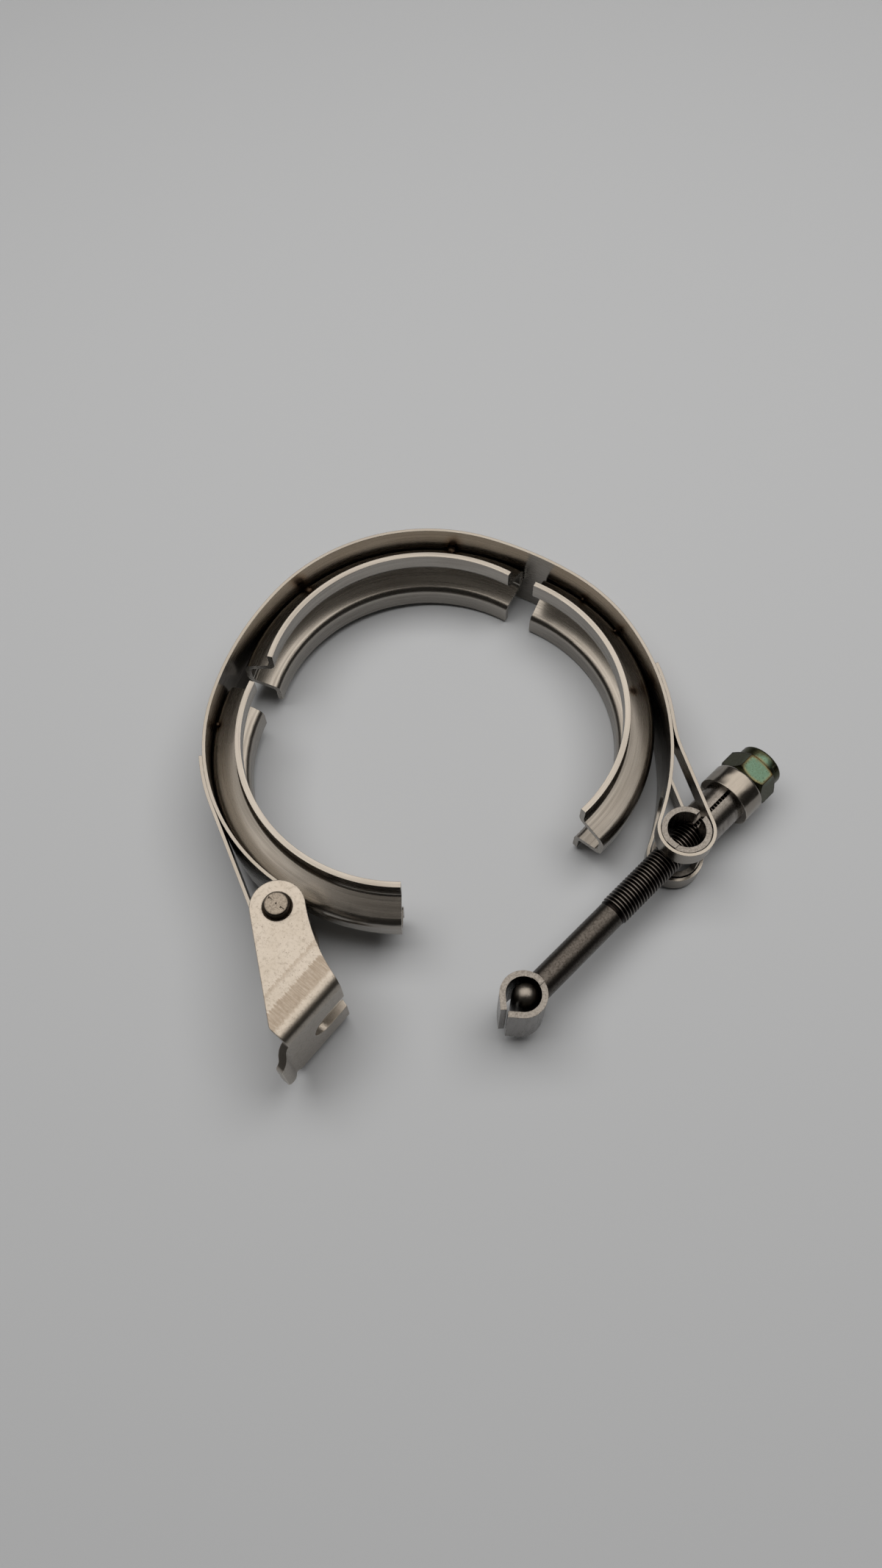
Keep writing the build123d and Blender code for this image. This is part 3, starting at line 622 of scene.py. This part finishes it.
def turn_bolt(thread):
    """Whole bolt: the thread, with its shank, cross bar and end closed on to it."""
    made, run = turn_thread(thread)

    def rim(station):
        loop = [e for e in made.edges if e.is_boundary and abs((e.verts[0].co - on_bolt(station, 0)).dot(run)) < 1e-6]
        return [e for e in loop if abs((e.verts[1].co - on_bolt(station, 0)).dot(run)) < 1e-6]

    # The end is drawn in to a shallow centre
    for radius in (CENTRE_RADIUS, 0.0):
        grown = bmesh.ops.extrude_edge_only(made, edges=rim(BOLT_END))
        new = [v for v in grown["geom"] if isinstance(v, bmesh.types.BMVert)]
        for point in new:
            out = point.co - on_bolt(BOLT_END, 0)
            point.co = on_bolt(BOLT_END, 0) + out.normalized() * radius * MM
    # Shank and neck, spun from their outline
    outline = bmesh.new()
    shape = (
        (BAR_STATION, 0.0),
        (BAR_STATION, NECK_RADIUS),
        (BAR_STATION + 2.6, NECK_RADIUS),
        (BAR_STATION + 3.6, SHANK_RADIUS),
        (THREAD_START, SHANK_RADIUS),
    )
    points = [outline.verts.new(on_bolt(station, radius)) for station, radius in shape]
    for a, b in zip(points, points[1:]):
        outline.edges.new((a, b))
    bmesh.ops.spin(
        outline,
        geom=outline.verts[:] + outline.edges[:],
        cent=on_bolt(0, 0),
        axis=run,
        angle=2 * math.pi,
        steps=64,
        use_merge=True,
        use_duplicate=False,
    )
    bmesh.ops.remove_doubles(outline, verts=outline.verts[:], dist=MERGE * MM)
    # Upright cross bar with round ends, which the T head is rolled round
    bar = bmesh.ops.create_uvsphere(outline, u_segments=48, v_segments=24, radius=BAR_RADIUS * MM)["verts"]
    for side in (-1, 1):
        half = [point for point in bar if point.co.z * side > 1e-7]
        bmesh.ops.translate(outline, vec=Vector((0.0, 0.0, side * BAR_HALF * MM)), verts=half)
    bmesh.ops.translate(outline, vec=on_bolt(BAR_STATION, 0), verts=bar)
    shank = bpy.data.meshes.new("shank")
    outline.to_mesh(shank)
    outline.free()
    made.from_mesh(shank)
    bpy.data.meshes.remove(shank)
    bmesh.ops.bridge_loops(made, edges=rim(THREAD_START))
    bmesh.ops.remove_doubles(made, verts=made.verts[:], dist=MERGE * MM)
    bmesh.ops.dissolve_degenerate(made, edges=made.edges[:], dist=SLIVER * MM)
    bmesh.ops.recalc_face_normals(made, faces=made.faces[:])
    for face in made.faces:
        face.smooth = True
    for edge in made.edges:
        edge.smooth = edge.calc_face_angle(0.0) < SHARP_ANGLE
    return settle(made, "t_bolt_threaded")


class V_CLAMP_OT_strap(bpy.types.Operator):
    """Finish the strap as cold-rolled strip"""

    bl_idname = "v_clamp.strap"
    bl_label = "Strap"

    def execute(self, context):
        dress("strap", rolled_stainless(context.scene.clamp_finish))
        return {"FINISHED"}


class V_CLAMP_OT_retainers(bpy.types.Operator):
    """Finish the three V retainers as pressed sheet"""

    bl_idname = "v_clamp.retainers"
    bl_label = "Retainers"

    def execute(self, context):
        finish = context.scene.clamp_finish
        for name, centre in RETAINERS.items():
            dress(name, pressed_stainless(finish, name.split("_")[1].title(), centre))
        return {"FINISHED"}


class V_CLAMP_OT_beads(bpy.types.Operator):
    """Throw the small weld beads on to the retainers' backs"""

    bl_idname = "v_clamp.beads"
    bl_label = "Weld Beads"

    def execute(self, context):
        made = bmesh.new()
        for place, radius in BEADS:
            bead = bmesh.ops.create_icosphere(made, subdivisions=3, radius=radius * MM)["verts"]
            bmesh.ops.scale(made, vec=Vector((1.0, 1.0, 0.7)), verts=bead)
            bmesh.ops.translate(made, vec=Vector(place) * MM, verts=bead)
        for face in made.faces:
            face.smooth = True
        piece = settle(made, "weld_beads")
        piece.data.materials.append(weld_scale(context.scene.clamp_finish))
        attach(piece, "band")
        return {"FINISHED"}


class V_CLAMP_OT_latch(bpy.types.Operator):
    """Finish the latch, its pin and its bushing"""

    bl_idname = "v_clamp.latch"
    bl_label = "Latch"

    def execute(self, context):
        finish = context.scene.clamp_finish
        dress("latch", tumbled_stainless(finish))
        dress("latch_pin", staked_pin_steel(finish))
        dress("latch_bushing", bushing_steel())
        return {"FINISHED"}


class V_CLAMP_OT_trunnion(bpy.types.Operator):
    """Finish the trunnion, its ferrule and the T head"""

    bl_idname = "v_clamp.trunnion"
    bl_label = "Trunnion and T Head"

    def execute(self, context):
        finish = context.scene.clamp_finish
        run = Vector((math.cos(BOLT_HEADING), math.sin(BOLT_HEADING)))
        bar = Vector(TRUNNION_AXIS) + run * BAR_STATION
        dress("trunnion", stamped_stainless(finish.stamped, "Trunnion", TRUNNION_AXIS))
        dress("t_head", stamped_stainless(finish.headed, "T Head", tuple(bar)))
        dress("ferrule", drawn_stainless(finish))
        return {"FINISHED"}


class V_CLAMP_OT_bolt(bpy.types.Operator):
    """Turn the bolt with its thread, in place of the plain one"""

    bl_idname = "v_clamp.bolt"
    bl_label = "Bolt"

    def execute(self, context):
        piece = turn_bolt(context.scene.clamp_thread)
        piece.data.materials.append(dark_bolt_steel(context.scene.clamp_finish))
        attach(piece, "bolt")
        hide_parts("t_bolt")
        return {"FINISHED"}


class V_CLAMP_OT_nut(bpy.types.Operator):
    """Finish the lock nut in yellow zinc"""

    bl_idname = "v_clamp.nut"
    bl_label = "Nut"

    def execute(self, context):
        dress("nut", yellow_zinc(context.scene.clamp_finish))
        return {"FINISHED"}


class V_CLAMP_OT_stage(bpy.types.Operator):
    """Lay the floor under the clamp and set its light and camera"""

    bl_idname = "v_clamp.stage"
    bl_label = "Stage"

    def execute(self, context):
        stage = context.scene.clamp_stage
        # The clamp leans on its latch pin's lower end, so the floor isn't level in the clamp's frame
        up = Vector(FLOOR_UP)
        foot = Vector(FLOOR_FOOT) * MM
        floor = bmesh.new()
        bmesh.ops.create_grid(floor, x_segments=1, y_segments=1, size=FLOOR_HALF)
        turn = up.to_track_quat("Z", "Y").to_matrix().to_4x4()
        bmesh.ops.transform(floor, matrix=Matrix.Translation(foot) @ turn, verts=floor.verts[:])
        ground = settle(floor, "floor")
        ground.data.materials.append(matt_paper(stage))

        # A soft lamp overhead lights the floor and casts the shadows, and isn't seen in the metal
        data = bpy.data.lights.new("lamp", "AREA")
        data.shape = "RECTANGLE"
        data.size, data.size_y = LAMP_SIZE
        data.energy = stage.lamp
        lamp = bpy.data.objects.new("lamp", data)
        lamp.matrix_world = Matrix.Translation(LAMP_PLACE)
        lamp.visible_glossy = False
        context.scene.collection.objects.link(lamp)

        # The metal mirrors a dim room with a broad bright ceiling, which ends a little in front of the clamp
        world = bpy.data.worlds.new("Room")
        context.scene.world = world
        world.use_nodes = True
        tree = world.node_tree
        parts = add(tree, PARTS, add(tree, "ShaderNodeTexCoord")).node.outputs
        lean = add(tree, MATHS, parts["Y"], parts["Z"], operation="ARCTAN2")
        lean = add(tree, MATHS, lean, -CEILING_LEAN, operation="ADD")
        lean = add(tree, MATHS, lean, operation="ABSOLUTE")
        depth = add(tree, SPAN, lean, *CEILING_FADE, 1.0, 0.0, interpolation_type="SMOOTHSTEP")
        side = add(tree, MATHS, parts["X"], operation="ABSOLUTE")
        width = add(tree, SPAN, side, *CEILING_SIDES, 1.0, 0.0, interpolation_type="SMOOTHSTEP")
        bright = add(tree, MATHS, depth, width, operation="MULTIPLY")
        level = add(tree, SPAN, bright, 0.0, 1.0, ROOM_LEVEL, stage.ceiling)
        room = add(tree, VECTORS, CEILING_WARMTH, named={"Scale": level}, operation="SCALE")
        rays = add(tree, "ShaderNodeLightPath").node.outputs
        seen = add(tree, BLEND, rays["Is Glossy Ray"], AMBIENT, room, data_type="RGBA")
        seen = add(tree, BLEND, rays["Is Camera Ray"], seen, BACKDROP, data_type="RGBA")
        tree.links.new(seen, tree.nodes["Background"].inputs["Color"])

        # Camera, from the clamp's known sizes as they lie in the view
        right = Vector((1.0, 0.0, 0.0))
        rise_way = Vector((0.0, math.sin(CAMERA_TILT), math.cos(CAMERA_TILT)))
        x_way = right * math.cos(CAMERA_ROLL) + rise_way * math.sin(CAMERA_ROLL)
        y_way = rise_way * math.cos(CAMERA_ROLL) - right * math.sin(CAMERA_ROLL)
        z_way = x_way.cross(y_way)
        data = bpy.data.cameras.new("camera")
        data.lens = stage.lens
        data.sensor_width = SENSOR_WIDTH
        data.clip_start = 0.01
        data.clip_end = 50.0
        camera = bpy.data.objects.new("camera", data)
        turn = Matrix((x_way, y_way, z_way)).transposed().to_4x4()
        camera.matrix_world = Matrix.Translation(Vector(CAMERA_PLACE) * MM) @ turn
        context.scene.collection.objects.link(camera)
        context.scene.camera = camera
        context.scene.view_settings.view_transform = "Standard"
        return {"FINISHED"}


OPERATORS = (
    V_CLAMP_OT_strap,
    V_CLAMP_OT_retainers,
    V_CLAMP_OT_beads,
    V_CLAMP_OT_latch,
    V_CLAMP_OT_trunnion,
    V_CLAMP_OT_bolt,
    V_CLAMP_OT_nut,
    V_CLAMP_OT_stage,
)


class V_CLAMP_PT_panel(bpy.types.Panel):
    """Pieces, finishes and stage of the clamp"""

    bl_label = "V Band Clamp"
    bl_idname = "V_CLAMP_PT_panel"
    bl_space_type = "VIEW_3D"
    bl_region_type = "UI"
    bl_category = "V Band Clamp"

    def draw(self, context):
        for group in (context.scene.clamp_finish, context.scene.clamp_thread, context.scene.clamp_stage):
            column = self.layout.column(align=True)
            for key in group.__annotations__:
                column.prop(group, key)
        for operator in OPERATORS:
            self.layout.operator(operator.bl_idname)


CLASSES = (ClampFinish, ClampThread, ClampStage, *OPERATORS, V_CLAMP_PT_panel)


def register():
    for made in CLASSES:
        bpy.utils.register_class(made)
    bpy.types.Scene.clamp_finish = PointerProperty(type=ClampFinish)
    bpy.types.Scene.clamp_thread = PointerProperty(type=ClampThread)
    bpy.types.Scene.clamp_stage = PointerProperty(type=ClampStage)


def unregister():
    del bpy.types.Scene.clamp_stage
    del bpy.types.Scene.clamp_thread
    del bpy.types.Scene.clamp_finish
    for made in reversed(CLASSES):
        bpy.utils.unregister_class(made)


def main():
    """Build the looks in order."""
    register()
    bpy.ops.v_clamp.strap()
    bpy.ops.v_clamp.retainers()
    bpy.ops.v_clamp.beads()
    bpy.ops.v_clamp.latch()
    bpy.ops.v_clamp.trunnion()
    bpy.ops.v_clamp.bolt()
    bpy.ops.v_clamp.nut()
    bpy.ops.v_clamp.stage()


if __name__ == "__main__":
    main()
